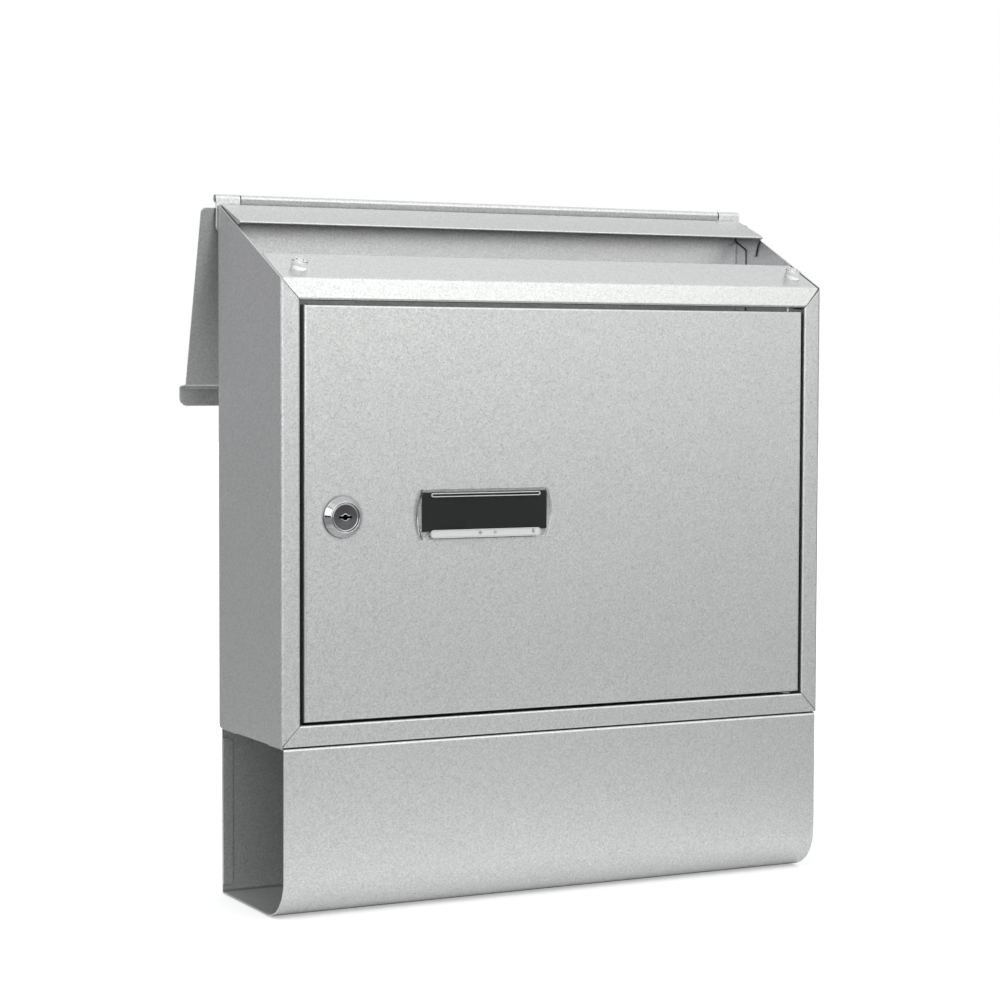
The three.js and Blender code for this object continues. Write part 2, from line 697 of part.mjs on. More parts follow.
function camScrew() {
  const seat = -BARREL_LENGTH - 3 * GAP - CAM_THICKNESS - 0.2;
  const screw = turned([
    [0, seat - 2.6],
    [4.6, seat - 2.6],
    [5.4, seat - 1.8],
    [5.4, seat],
    [1.7, seat],
    [1.7, -12.6],
    [0, -12.6],
  ]);
  const slot = rectangle(-0.6, -6, 0.6, 6);
  const cross = rectangle(-6, -0.6, 6, 0.6);
  const slotFloor = seat - 1.6;
  return cut(screw, alongZ(slot, seat - 4, slotFloor), alongZ(cross, seat - 4, slotFloor));
}

// ---------------------------------------------------------------- name plate
// X and Y lie in the door's face here, round the plate's centre, and +Z leaves the door.

// The card's rectangle, or with a margin the pocket that holds it.
function cardOutline(margin) {
  const width = CARD_HALF_WIDTH + margin;
  const height = CARD_HALF_HEIGHT + margin;
  return rectangle(-width, CARD_RAISE - height, width, CARD_RAISE + height);
}

// Clear moulded holder: bowed ends, a pocket behind for the card and a grip bar above and below.
function namePlateHolder() {
  const bow = (side) => {
    const rise = PLATE_HALF_HEIGHT - 0.4;
    const radius = (rise * rise + PLATE_WING * PLATE_WING) / (2 * PLATE_WING);
    const angle = Math.asin(rise / radius);
    const centre = PLATE_HALF_WIDTH + PLATE_WING - radius;
    return arc(centre, 0, radius, -side * angle, side * angle).map((p) => new THREE.Vector2(side * p.x, p.y));
  };
  const outline = [...bow(1), ...bow(-1)];
  const pocket = cardOutline(GAP);
  const bar = (low, high) => roundedPath([
    [-35, low, 1], [35, low, 1], [35, high, 1], [-35, high, 1],
  ], true);
  const face = GAP + PLATE_THICKNESS;
  return union(
    cut(alongZ(outline, GAP, face), alongZ(pocket, 0, GAP + CARD_POCKET)),
    alongZ(bar(-PLATE_HALF_HEIGHT + 1.4, -PLATE_HALF_HEIGHT + 4.6), face - 0.5, face + 0.9),
    alongZ(bar(PLATE_HALF_HEIGHT - 4, PLATE_HALF_HEIGHT - 1.2), face - 0.5, face + 0.9),
  );
}

function namePlateCard() {
  return alongZ(cardOutline(0), 2 * GAP, 2 * GAP + CARD_THICKNESS);
}

// ---------------------------------------------------------------- newspaper holder

function rivetPlaces() {
  return [['front', -BODY_DEPTH + RIVET_INSET + 3], ['back', -RIVET_INSET]].flatMap(([row, y]) => [
    { name: `holder_rivet_${row}_left`, x: -RIVET_X, y },
    { name: `holder_rivet_${row}_right`, x: RIVET_X, y },
  ]);
}

// One sheet, folded into an open-ended trough and riveted under the box. Its back wall has hemmed ends.
function newspaperHolder() {
  const profile = sheetOutline([
    [-BODY_DEPTH + HOLDER_FLANGE, -GAP],
    [-BODY_DEPTH, -GAP, CORNER_BEND],
    [-BODY_DEPTH, -HOLDER_DEPTH, HOLDER_CURVE],
    [0, -HOLDER_DEPTH, SMALL_BEND],
    [0, -GAP, SMALL_BEND],
    [-HOLDER_FLANGE, -GAP],
  ], SHEET);
  const hem = (side) => alongY(roundedPath([
    [side * HOLDER_HALF_WIDTH, HEM_TOP],
    [side * HOLDER_HALF_WIDTH, HEM_BOTTOM],
    [side * (HOLDER_HALF_WIDTH - HEM_WIDTH), HEM_BOTTOM, 2.5],
    [side * (HOLDER_HALF_WIDTH - HEM_WIDTH), HEM_TOP - 2.5, 0.8],
    [side * (HOLDER_HALF_WIDTH - HEM_WIDTH + 2.5), HEM_TOP, 0.8],
  ], true), -2 * SHEET, -SHEET / 2);
  return cut(
    union(alongX(profile, -HOLDER_HALF_WIDTH, HOLDER_HALF_WIDTH), hem(SIDES.left), hem(SIDES.right)),
    ...rivetPlaces().map(({ x, y }) => alongZ(circle(x, y, RIVET_HOLE, SMALL_SIDES), -SHEET - GAP - 1, 0)),
  );
}

// Blind rivet through the floor of the box and the holder's flange; Z = 0 is the floor's top.
function holderRivet() {
  const tail = -2 * SHEET - 3 * GAP;
  return turned([
    [0, tail - 1.6],
    [1.8, tail - 1.6],
    [2.7, tail - 0.8],
    [2.7, tail],
    [RIVET_RADIUS, tail],
    [RIVET_RADIUS, GAP],
    [RIVET_HEAD, GAP],
    [RIVET_HEAD - 0.3, GAP + 0.5],
    [RIVET_HEAD - 1.4, GAP + 1],
    [0, GAP + 1.1],
  ], SMALL_SIDES);
}

// ---------------------------------------------------------------- assembly

function place(object, x, y, z) {
  object.position.set(x, y, z);
  return object;
}

const mailbox = new THREE.Group();
mailbox.position.z = -ORIGIN_HEIGHT;

for (const [name, side] of Object.entries(SIDES)) {
  mailbox.add(piece(`side_panel_${name}`, sidePanel(side), SILVER_PAINT));
  mailbox.add(piece(`hinge_bracket_${name}`, hingeBracket(side), SILVER_PAINT));
}
mailbox.add(
  piece('back_panel', backPanel(), SILVER_PAINT),
  piece('bottom_panel', bottomPanel(), SILVER_PAINT),
  piece('front_top_cover', frontTopCover(), SILVER_PAINT),
  piece('rear_top_cover', rearTopCover(), SILVER_PAINT),
  piece('lid_hinge_pin', hingePin(), STEEL),
  piece('door', door(), SILVER_PAINT),
  piece('newspaper_holder', newspaperHolder(), SILVER_PAINT),
);

// The lid hangs open behind the box, with its shoulders against the bracket leaves.
const lidPiece = place(piece('lid', lid(), SILVER_PAINT), 0, HINGE_Y, HINGE_Z);
lidPiece.rotation.x = THREE.MathUtils.degToRad(90 + LID_LEAN);
mailbox.add(lidPiece);

// Bumpers stand on the sloping front band.
const slope = place(new THREE.Group(), 0, 0, BACK_HEIGHT);
slope.rotation.x = SLOPE_ANGLE;
BUMPERS.forEach(({ name, x, downSlope }) => {
  slope.add(place(piece(`lid_bumper_${name}`, bumper(), CLEAR_PLASTIC), x, -downSlope, GAP));
});
mailbox.add(slope);

// Door pivots: pins through the rails' returns into the door's top and bottom flanges.
const pivotY = -BODY_DEPTH + PIVOT_SETBACK;
const topPin = place(piece('door_pin_top', pivotPin(7.5), STEEL), PIVOT_X, pivotY, OPENING_TOP + SHEET + GAP);
topPin.rotation.x = Math.PI;
const bottomPin = piece('door_pin_bottom', pivotPin(6.5), STEEL);
const washer = piece('door_washer', pivotWasher(), NYLON);
mailbox.add(
  topPin,
  place(bottomPin, PIVOT_X, pivotY, OPENING_BOTTOM - SHEET - GAP),
  place(washer, PIVOT_X, pivotY, OPENING_BOTTOM + GAP),
);

const lock = place(new THREE.Group(), LOCK_X, -BODY_DEPTH, LOCK_Z);
lock.rotation.x = Math.PI / 2;
lock.add(
  piece('lock_housing', lockHousing(), CHROME),
  piece('lock_plug', lockPlug(), DARK_STEEL),
  piece('lock_nut', lockNut(), STEEL),
  piece('lock_cam', lockCam(), STEEL),
  piece('lock_cam_screw', camScrew(), STEEL),
);
mailbox.add(lock);

const namePlate = place(new THREE.Group(), PLATE_CENTRE_X, -BODY_DEPTH, PLATE_CENTRE_Z);
namePlate.rotation.x = Math.PI / 2;
namePlate.add(
  piece('name_plate_holder', namePlateHolder(), CLEAR_PLASTIC),
  piece('name_plate_card', namePlateCard(), CHARCOAL_CARD),
);
mailbox.add(namePlate);

for (const { name, x, y } of rivetPlaces()) {
  mailbox.add(place(piece(name, holderRivet(), STEEL), x, y, SHEET));
}

export default mailbox;
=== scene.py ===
"""Looks of a wall-mounted mailbox in silver metallic paint: materials, small moulded and turned pieces,
studio light and camera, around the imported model."""

import json
import math

import bmesh
import bpy
from mathutils import Matrix, Vector


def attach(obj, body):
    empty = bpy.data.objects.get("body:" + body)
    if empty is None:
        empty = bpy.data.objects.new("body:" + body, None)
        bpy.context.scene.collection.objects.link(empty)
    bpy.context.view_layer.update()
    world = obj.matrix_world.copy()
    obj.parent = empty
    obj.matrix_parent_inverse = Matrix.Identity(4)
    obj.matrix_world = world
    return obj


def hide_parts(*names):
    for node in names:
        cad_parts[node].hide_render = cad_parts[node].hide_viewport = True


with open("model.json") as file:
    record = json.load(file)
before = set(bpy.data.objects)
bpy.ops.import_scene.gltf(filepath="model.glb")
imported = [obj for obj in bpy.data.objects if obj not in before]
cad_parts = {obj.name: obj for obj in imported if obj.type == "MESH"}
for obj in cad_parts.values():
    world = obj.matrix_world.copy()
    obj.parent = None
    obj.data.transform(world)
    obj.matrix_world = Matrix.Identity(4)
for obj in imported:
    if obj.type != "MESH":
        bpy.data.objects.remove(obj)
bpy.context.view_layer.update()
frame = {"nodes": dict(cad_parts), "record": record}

MM = 0.001

# ---------------------------------------------------------------- places on the object, in millimetres

DOOR_FACE_Y = -96.6
LOCK_CENTRE = (-143.5, DOOR_FACE_Y, 0.0)
PLATE_CENTRE = (-53.55, DOOR_FACE_Y, 0.2)
# The sloping top: its height at the wall, and its fall over the box's depth.
SLOPE_TOP_Z = 180.6
SLOPE_FALL, SLOPE_DEPTH = 46, 96.6
SLOPE_ANGLE = math.atan(SLOPE_FALL / SLOPE_DEPTH)
# Each bumper's X and its distance down the slope.
BUMPERS = {"left": (-165.0, 93.0), "right": (168.6, 91.2)}
# Thickness of the adhesive under the name plate and the bumpers.
STICK_GAP = 0.3

# The lock, from the door's face outwards. The well is the recess that the plug's face sits in.
HEAD_RADIUS, HEAD_BACK, HEAD_FACE = 11.8, 0.3, 5.3
CONE_FOOT, CONE_TOP_RADIUS = 1.25, 9.0
WELL_RADIUS, WELL_FLOOR = 8.35, 2.8
BARREL_RADIUS, BARREL_END, BARREL_BORE = 9.35, -16.0, 6.25
THREAD_START, THREAD_DEPTH, THREAD_PITCH, THREAD_TURNS = -15.2, 0.3, 1.0, 13
PLUG_RIM_OUTER, PLUG_RIM_INNER, PLUG_RIM_FOOT = 8.02, 7.2, 4.3
# The keyway: half its length, half its width, and the radius of its wider middle.
KEYWAY_HALF, KEYWAY_SLOT_HALF, KEYWAY_BORE = 4.0, 0.7, 1.7

# The name plate: its frame, with ends that bow outwards, and the pocket that holds the card.
PLATE_HALF_WIDTH, PLATE_HALF_HEIGHT, PLATE_BOW = 40.6, 14.4, 3.2
PLATE_THICKNESS, PLATE_EDGE = 2.6, 0.6
POCKET_HALF_WIDTH, POCKET_HALF_HEIGHT, POCKET_DEPTH = 41.2, 11.8, 0.78
# How far the rims and the ledge sink into the frame, so that no gap shows.
SINK = 0.02
STUD_PLACES_X, STUD_Y = (-4.1, 5.7, 30.8), -11.0

BUMPER_RADIUS, BUMPER_HEIGHT = 4.7, 5.0

# The most that a CAD node's cut edges are rounded, by material slot. The modifier's clamp takes this down
# to almost nothing on the large sheets, which have very short edges. There the paint's shader rounds them.
EDGE_ROUNDING = {
    "silver_paint": 0.18, "steel": 0.12, "chrome": 0.1, "plug_metal": 0.08,
    "clear_plastic": 0.25, "card": 0.05, "nylon": 0.1,
}

# Angles between faces, from which an edge stays sharp, is rounded, or is dissolved as flat.
SHARP_ANGLE = math.radians(32)
ROUNDED_ANGLE = math.radians(38)
FLAT_ANGLE = math.radians(0.5)
WELD_DISTANCE = 0.002 * MM

# ---------------------------------------------------------------- camera, floor and light

CAMERA_PLACE = (-731.4 * MM, -1435.0 * MM, 85.9 * MM)
CAMERA_YAW = math.radians(27.22)
CAMERA_DIP = math.radians(2.98)
CAMERA_ROLL = math.radians(0.19)
CAMERA_SENSOR = 36.0
CAMERA_LENS = 92.74
CAMERA_FAR = 100.0

FLOOR_Z = -0.2302
FLOOR_RADIUS = 9.0
# Distances from the middle, in metres: where the floor's painted shade and painted glow start, where its
# painted shade is darkest, and where its painted glow is white to the camera.
FLOOR_FADE_FROM, FLOOR_DARK_AT, FLOOR_WHITE_AT = 0.22, 0.56, 0.6

# Soft lights: place, size, brightness and colour.
KEY_LIGHT = ((0.57, -1.57, 0.68), (0.9, 0.6), 0.5, (1, 1, 1))
LEFT_LIGHT = ((-1.5, 0.05, 0.55), (0.6, 0.8), 2.0, (0.97, 0.98, 1.0))

# Brightness of the room: glows at the front right and front left, a bright ceiling, and a dark left side.
# An edge and a full value are how closely a direction has to agree for the first and the whole of a glow.
ROOM_LEVEL = 0.36
FRONT_GLOW = (0.317, -0.871, 0.375)
GLOW_EDGE, GLOW_FULL, GLOW_LEVEL = 0.82, 0.945, 0.97
SIDE_GLOW = (-0.57, -0.81, 0.15)
SIDE_GLOW_EDGE, SIDE_GLOW_FULL, SIDE_GLOW_LEVEL = 0.77, 0.90, 1.45
CEILING_FROM, CEILING_TO, CEILING_LEVEL = 0.35, 0.75, 0.70
TINT_FROM, TINT_TO = 0.1, 0.5
DARK_SIDE = (-1.0, 0.1, 0.1)
DARK_EDGE, DARK_FULL, DARK_LEVEL = 0.70, 0.88, 0.28


def add_camera():
    """A long-lens camera to the left of the front and a little above the middle."""
    forward = Vector((
        math.sin(CAMERA_YAW) * math.cos(CAMERA_DIP),
        math.cos(CAMERA_YAW) * math.cos(CAMERA_DIP),
        -math.sin(CAMERA_DIP),
    ))
    level = Vector((math.cos(CAMERA_YAW), -math.sin(CAMERA_YAW), 0))
    upright = level.cross(forward)
    right = math.cos(CAMERA_ROLL) * level + math.sin(CAMERA_ROLL) * upright
    up = math.cos(CAMERA_ROLL) * upright - math.sin(CAMERA_ROLL) * level
    turn = Matrix((right, up, -forward)).transposed().to_4x4()
    data = bpy.data.cameras.new("camera")
    data.sensor_width = CAMERA_SENSOR
    data.lens = CAMERA_LENS
    data.clip_end = CAMERA_FAR
    camera = bpy.data.objects.new("camera", data)
    camera.matrix_world = Matrix.Translation(CAMERA_PLACE) @ turn
    bpy.context.scene.collection.objects.link(camera)
    bpy.context.scene.camera = camera


def add_softbox(name, place, size, brightness, colour):
    """A rectangular soft light of even brightness, pointing at the object."""
    data = bpy.data.lights.new(name, "AREA")
    data.shape = "RECTANGLE"
    data.size, data.size_y = size
    data.energy = brightness * math.pi * size[0] * size[1]
    data.color = colour
    lamp = bpy.data.objects.new(name, data)
    turn = (-Vector(place)).to_track_quat("-Z", "Y").to_matrix().to_4x4()
    lamp.matrix_world = Matrix.Translation(place) @ turn
    bpy.context.scene.collection.objects.link(lamp)


def add_lights():
    add_softbox("key", *KEY_LIGHT)
    add_softbox("left", *LEFT_LIGHT)


# ---------------------------------------------------------------- node helpers

# How far the rounded normal agrees with the flat one where an edge begins, and where it is strongest.
EDGE_FROM, EDGE_TO = 0.995, 0.85
RAY_SAMPLES = 4
# Sockets of the mix node that take and give colours.
COLOUR_INPUTS, COLOUR_OUTPUT = slice(6, 8), 2


class Shader:
    """A node tree, with short calls for adding and joining nodes.

    `place` names the texture coordinate that patterns are laid out in.
    """

    def __init__(self, tree, place="Object"):
        self.nodes = tree.nodes
        self.links = tree.links
        self.nodes.clear()
        self.place = self.nodes.new("ShaderNodeTexCoord").outputs[place]

    def join(self, source, target):
        self.links.new(source, target)

    def fill(self, sockets, values):
        """Joins or sets the first sockets of a node."""
        for socket, value in zip(sockets, values):
            if isinstance(value, bpy.types.NodeSocket):
                self.join(value, socket)
            else:
                socket.default_value = value

    def noise(self, scale, detail=2.0, roughness=0.5):
        node = self.nodes.new("ShaderNodeTexNoise")
        node.inputs["Scale"].default_value = scale
        node.inputs["Detail"].default_value = detail
        node.inputs["Roughness"].default_value = roughness
        self.join(self.place, node.inputs["Vector"])
        return node.outputs["Fac"]

    def cells(self, scale):
        """A random colour for each cell of a fine Voronoi pattern."""
        node = self.nodes.new("ShaderNodeTexVoronoi")
        node.inputs["Scale"].default_value = scale
        self.join(self.place, node.inputs["Vector"])
        return node.outputs["Color"]

    def split(self, vector):
        node = self.nodes.new("ShaderNodeSeparateXYZ")
        self.join(vector, node.inputs["Vector"])
        return node.outputs

    def ramp(self, source, low, high, to_low=0.0, to_high=1.0):
        node = self.nodes.new("ShaderNodeMapRange")
        node.inputs["From Min"].default_value = low
        node.inputs["From Max"].default_value = high
        node.inputs["To Min"].default_value = to_low
        node.inputs["To Max"].default_value = to_high
        self.join(source, node.inputs["Value"])
        return node.outputs["Result"]

    def maths(self, operation, *values):
        node = self.nodes.new("ShaderNodeMath")
        node.operation = operation
        self.fill(node.inputs, values)
        return node.outputs["Value"]

    def vector(self, operation, *values, scale=None):
        node = self.nodes.new("ShaderNodeVectorMath")
        node.operation = operation
        self.fill(node.inputs, values)
        if scale is not None:
            node.inputs["Scale"].default_value = scale
        return node.outputs["Value" if operation in ("DOT_PRODUCT", "LENGTH") else "Vector"]

    def mix(self, amount, first, second):
        """A colour mix. `first` and `second` are colours or sockets."""
        node = self.nodes.new("ShaderNodeMix")
        node.data_type = "RGBA"
        self.join(amount, node.inputs["Factor"])
        colours = [(*value, 1) if isinstance(value, tuple) else value for value in (first, second)]
        self.fill(node.inputs[COLOUR_INPUTS], colours)
        return node.outputs[COLOUR_OUTPUT]

    def bump(self, height, strength, distance, normal=None):
        node = self.nodes.new("ShaderNodeBump")
        node.inputs["Strength"].default_value = strength
        node.inputs["Distance"].default_value = distance
        self.join(height, node.inputs["Height"])
        if normal is not None:
            self.join(normal, node.inputs["Normal"])
        return node.outputs["Normal"]

    def edges(self, radius):
        """How near a point is to an outside edge, and the normal rounded over that edge."""
        bevel = self.nodes.new("ShaderNodeBevel")
        bevel.samples = RAY_SAMPLES
        bevel.inputs["Radius"].default_value = radius
        geometry = self.nodes.new("ShaderNodeNewGeometry")
        along = self.vector("DOT_PRODUCT", bevel.outputs["Normal"], geometry.outputs["Normal"])
        return self.ramp(along, EDGE_FROM, EDGE_TO), bevel.outputs["Normal"]

    def openness(self, distance, low, high):
        """0 deep in a gap and 1 on an open surface, from ambient occlusion: the mask for painted shade in
        gaps.
        """
        node = self.nodes.new("ShaderNodeAmbientOcclusion")
        node.samples = RAY_SAMPLES
        node.inputs["Distance"].default_value = distance
        return self.ramp(node.outputs["AO"], low, high)


class Surface(Shader):
    """A material with one principled shader."""

    def __init__(self, name):
        self.material = bpy.data.materials.new(name)
        self.material.use_nodes = True
        super().__init__(self.material.node_tree)
        output = self.nodes.new("ShaderNodeOutputMaterial")
        self.surface = self.nodes.new("ShaderNodeBsdfPrincipled")
        self.join(self.surface.outputs["BSDF"], output.inputs["Surface"])

    def set(self, **values):
        for name, value in values.items():
            self.surface.inputs[name.replace("_", " ")].default_value = value

    def feed(self, name, source):
        self.join(source, self.surface.inputs[name])


# ---------------------------------------------------------------- materials

# Silver paint: flakes per metre, and the tones of its flakes, of its brighter edges (wear and a painted
# highlight) and of the painted shade in its seams and gaps.
COARSE_FLAKES, FINE_FLAKES = 1300, 2900
FLAKE_DARK, FLAKE_LIGHT = (0.565, 0.570, 0.566), (0.800, 0.805, 0.801)
MOTTLE_TONE, WORN_EDGE_AND_HIGHLIGHT_TONE = (0.56, 0.565, 0.565), (0.86, 0.87, 0.87)
GLINT_TONE, SPECK_TONE = (0.95, 0.96, 0.97), (0.38, 0.38, 0.385)
# Painted shade: the tones and ambient-occlusion reaches that darken the seams and deep gaps.
SEAM_SHADE_TONE, GAP_SHADE_TONE = (0.18, 0.18, 0.18), (0.05, 0.05, 0.05)
EDGE_REACH, SEAM_SHADE_REACH, GAP_SHADE_REACH = 0.45 * MM, 1.6 * MM, 4 * MM
COARSE_TILT, FINE_TILT = 0.03, 0.06
# The plug's turned rings, in radians per metre of radius: one ring each 0.45 mm.
RING_PHASE = 14000.0
# Clear plastic: the two tints that it varies between, for the bumpers and for the name plate.
CLEAR_TINTS = (0.95, 0.96, 0.96), (0.99, 0.995, 0.995)
PLATE_TINTS = (0.80, 0.81, 0.81), (0.87, 0.88, 0.88)


def silver_paint():
    """Metallic paint with tilted flakes, orange peel, slightly brighter edges (wear and a painted
    highlight) and painted shade in its crevices.
    """
    paint = Surface("silver_paint")
    edge, rounded = paint.edges(EDGE_REACH)

    # Flakes of two sizes, as a random colour per cell. X gives their shade, Y a few glints, Z dark specks.
    coarse, fine = paint.cells(COARSE_FLAKES), paint.cells(FINE_FLAKES)
    parts = paint.split(coarse)
    both_sizes = paint.maths("ADD", parts["X"], paint.split(fine)["X"])
    grain = paint.noise(1500, 3.0, 0.65)
    mottle = paint.noise(22, 3.0, 0.6)

    tone = paint.mix(paint.ramp(both_sizes, 0.2, 1.8), FLAKE_DARK, FLAKE_LIGHT)
    tone = paint.mix(paint.ramp(mottle, 0.35, 0.65, 0.0, 0.08), tone, MOTTLE_TONE)
    tone = paint.mix(paint.ramp(parts["Y"], 0.93, 1.0, 0.0, 0.5), tone, GLINT_TONE)
    tone = paint.mix(paint.ramp(parts["Z"], 0.08, 0.0, 0.0, 0.45), tone, SPECK_TONE)
    # Brighter edges: partly wear of the paint, partly a painted highlight.
    tone = paint.mix(paint.maths("MULTIPLY", edge, 0.35), tone, WORN_EDGE_AND_HIGHLIGHT_TONE)
    # Painted shade: darker in seams and deep gaps where less light reaches, found by ambient occlusion.
    seam_shaded = paint.mix(paint.openness(SEAM_SHADE_REACH, 0.50, 0.90), SEAM_SHADE_TONE, tone)
    deep = paint.mix(paint.openness(GAP_SHADE_REACH, 0.22, 0.50), GAP_SHADE_TONE, seam_shaded)
    paint.feed("Base Color", deep)
    paint.feed("Roughness", paint.ramp(grain, 0.30, 0.70, 0.37, 0.27))
    paint.set(Metallic=0.82)

    # Each flake leans its own way, over the orange peel of the lacquer.
    middle = (0.5, 0.5, 0.5)
    tilt = paint.vector("SCALE", paint.vector("SUBTRACT", coarse, middle), scale=COARSE_TILT)
    fine_tilt = paint.vector("SCALE", paint.vector("SUBTRACT", fine, middle), scale=FINE_TILT)
    flaked = paint.vector("ADD", paint.vector("ADD", rounded, tilt), fine_tilt)
    normal = paint.vector("NORMALIZE", flaked)
    peel = paint.bump(paint.noise(360, 2.0), 0.10, 0.10 * MM, normal)
    paint.feed("Normal", paint.bump(grain, 0.15, 0.06 * MM, peel))
    return paint.material


def plated_steel():
    """Zinc-plated steel with a mottled sheen."""
    steel = Surface("plated_steel")
    edge, rounded = steel.edges(0.2 * MM)
    patches = steel.noise(240, 4.0, 0.6)
    tone = steel.mix(steel.ramp(patches, 0.35, 0.65), (0.42, 0.43, 0.45), (0.62, 0.63, 0.64))
    # Painted highlight: lighter towards the outside edges.
    tone = steel.mix(steel.maths("MULTIPLY", edge, 0.4), tone, (0.80, 0.80, 0.80))
    steel.feed("Base Color", tone)
    steel.feed("Roughness", steel.ramp(patches, 0.35, 0.65, 0.38, 0.24))
    steel.set(Metallic=1.0)
    steel.feed("Normal", steel.bump(steel.noise(1800), 0.08, 0.05 * MM, rounded))
    return steel.material


def bright_chrome():
    """Chrome plate, with fine handling marks in its gloss."""
    chrome = Surface("bright_chrome")
    smudge = chrome.noise(420, 4.0, 0.6)
    tone = chrome.mix(chrome.ramp(smudge, 0.35, 0.70), (0.56, 0.57, 0.58), (0.66, 0.67, 0.68))
    chrome.feed("Base Color", tone)
    chrome.feed("Roughness", chrome.ramp(smudge, 0.35, 0.70, 0.04, 0.10))
    chrome.set(Metallic=1.0)
    chrome.feed("Normal", chrome.bump(chrome.noise(900), 0.03, 0.03 * MM))
    return chrome.material


def turned_plug():
    """Dark nickel face with the fine rings that a lathe leaves."""
    plug = Surface("turned_plug")
    centre = tuple(value * MM for value in LOCK_CENTRE)
    parts = plug.split(plug.vector("SUBTRACT", plug.place, centre))
    across = plug.maths("POWER", plug.maths("ABSOLUTE", parts["X"]), 2.0)
    height = plug.maths("POWER", plug.maths("ABSOLUTE", parts["Z"]), 2.0)
    radius = plug.maths("SQRT", plug.maths("ADD", across, height))
    rings = plug.maths("SINE", plug.maths("MULTIPLY", radius, RING_PHASE))
    grain = plug.noise(1500, 3.0, 0.6)
    depth = plug.maths("ADD", plug.maths("MULTIPLY", rings, 0.3), grain)
    tone = plug.mix(plug.ramp(depth, 0.2, 0.9), (0.085, 0.085, 0.09), (0.17, 0.17, 0.175))
    plug.feed("Base Color", tone)
    plug.feed("Roughness", plug.ramp(grain, 0.3, 0.7, 0.38, 0.26))
    plug.set(Metallic=1.0)
    plug.feed("Normal", plug.bump(depth, 0.2, 0.04 * MM))
    return plug.material


def clear_plastic(name, dark, light):
    """Clear moulded plastic with faint ripples and a slight haze, between two tints."""
    clear = Surface(name)
    speck = clear.noise(700, 3.0, 0.6)
    tone = clear.mix(clear.ramp(speck, 0.35, 0.65), dark, light)
    clear.feed("Base Color", tone)
    clear.feed("Roughness", clear.ramp(speck, 0.35, 0.65, 0.03, 0.08))
    clear.set(Transmission_Weight=1.0, IOR=1.49)
    clear.feed("Normal", clear.bump(clear.noise(140), 0.05, 0.10 * MM))
    return clear.material


def frosted_plastic():
    """The same plastic with a matt surface, whiter where it was moulded against a grained tool."""
    frosted = Surface("frosted_plastic")
    grain = frosted.noise(1100, 3.0, 0.6)
    tone = frosted.mix(frosted.ramp(grain, 0.3, 0.7), (0.86, 0.87, 0.87), (0.97, 0.975, 0.975))
    frosted.feed("Base Color", tone)
    frosted.feed("Roughness", frosted.ramp(grain, 0.3, 0.7, 0.22, 0.12))
    frosted.set(Transmission_Weight=0.25, IOR=1.49)
    frosted.feed("Normal", frosted.bump(grain, 0.1, 0.04 * MM))
    return frosted.material


def charcoal_card():
    """Matt charcoal card with paper fibres."""
    card = Surface("charcoal_card")
    fibre = card.noise(900, 5.0, 0.7)
    tone = card.mix(card.ramp(fibre, 0.3, 0.7), (0.019, 0.019, 0.020), (0.029, 0.029, 0.030))
    card.feed("Base Color", tone)
    card.feed("Roughness", card.ramp(fibre, 0.3, 0.7, 0.75, 0.6))
    card.set(Specular_IOR_Level=0.1)
    card.feed("Normal", card.bump(fibre, 0.2, 0.05 * MM))
    return card.material


def grey_nylon():
    """Moulded grey nylon."""
    nylon = Surface("grey_nylon")
    grain = nylon.noise(600, 3.0, 0.6)
    tone = nylon.mix(nylon.ramp(grain, 0.3, 0.7), (0.30, 0.31, 0.32), (0.42, 0.43, 0.44))
    nylon.feed("Base Color", tone)
    nylon.feed("Roughness", nylon.ramp(grain, 0.3, 0.7, 0.5, 0.38))
    nylon.set(Subsurface_Weight=0.05)
    nylon.feed("Normal", nylon.bump(grain, 0.1, 0.05 * MM))
    return nylon.material


def floor_paper():
    """Studio paper with painted light: its colour darkens away from the object, a painted shade, and it
    glows faintly for every ray and goes to white for the camera away from the object.
    """
    paper = Surface("floor_paper")
    grain = paper.noise(30, 4.0, 0.6)
    tone = paper.mix(paper.ramp(grain, 0.3, 0.7), (0.77, 0.77, 0.77), (0.80, 0.80, 0.80))
    reach = paper.vector("LENGTH", paper.place)
    # Painted shade: the paper's colour darkens away from the object, which cuts its light onto the object.
    painted_floor_shade = paper.ramp(reach, FLOOR_FADE_FROM, FLOOR_DARK_AT)
    paper.feed("Base Color", paper.mix(painted_floor_shade, tone, (0.22, 0.22, 0.22)))
    paper.set(Roughness=0.9, Emission_Color=(1, 1, 1, 1))
    # Painted glow: faint for every ray, and rising to white for the camera away from the object.
    fade = paper.ramp(reach, FLOOR_FADE_FROM, FLOOR_WHITE_AT, 0.34, 1.0)
    seen = paper.nodes.new("ShaderNodeLightPath").outputs["Is Camera Ray"]
    glow = paper.maths("ADD", paper.maths("MULTIPLY", fade, seen), 0.08)
    paper.feed("Emission Strength", glow)
    return paper.material


# ---------------------------------------------------------------- shading and rounding of the CAD nodes


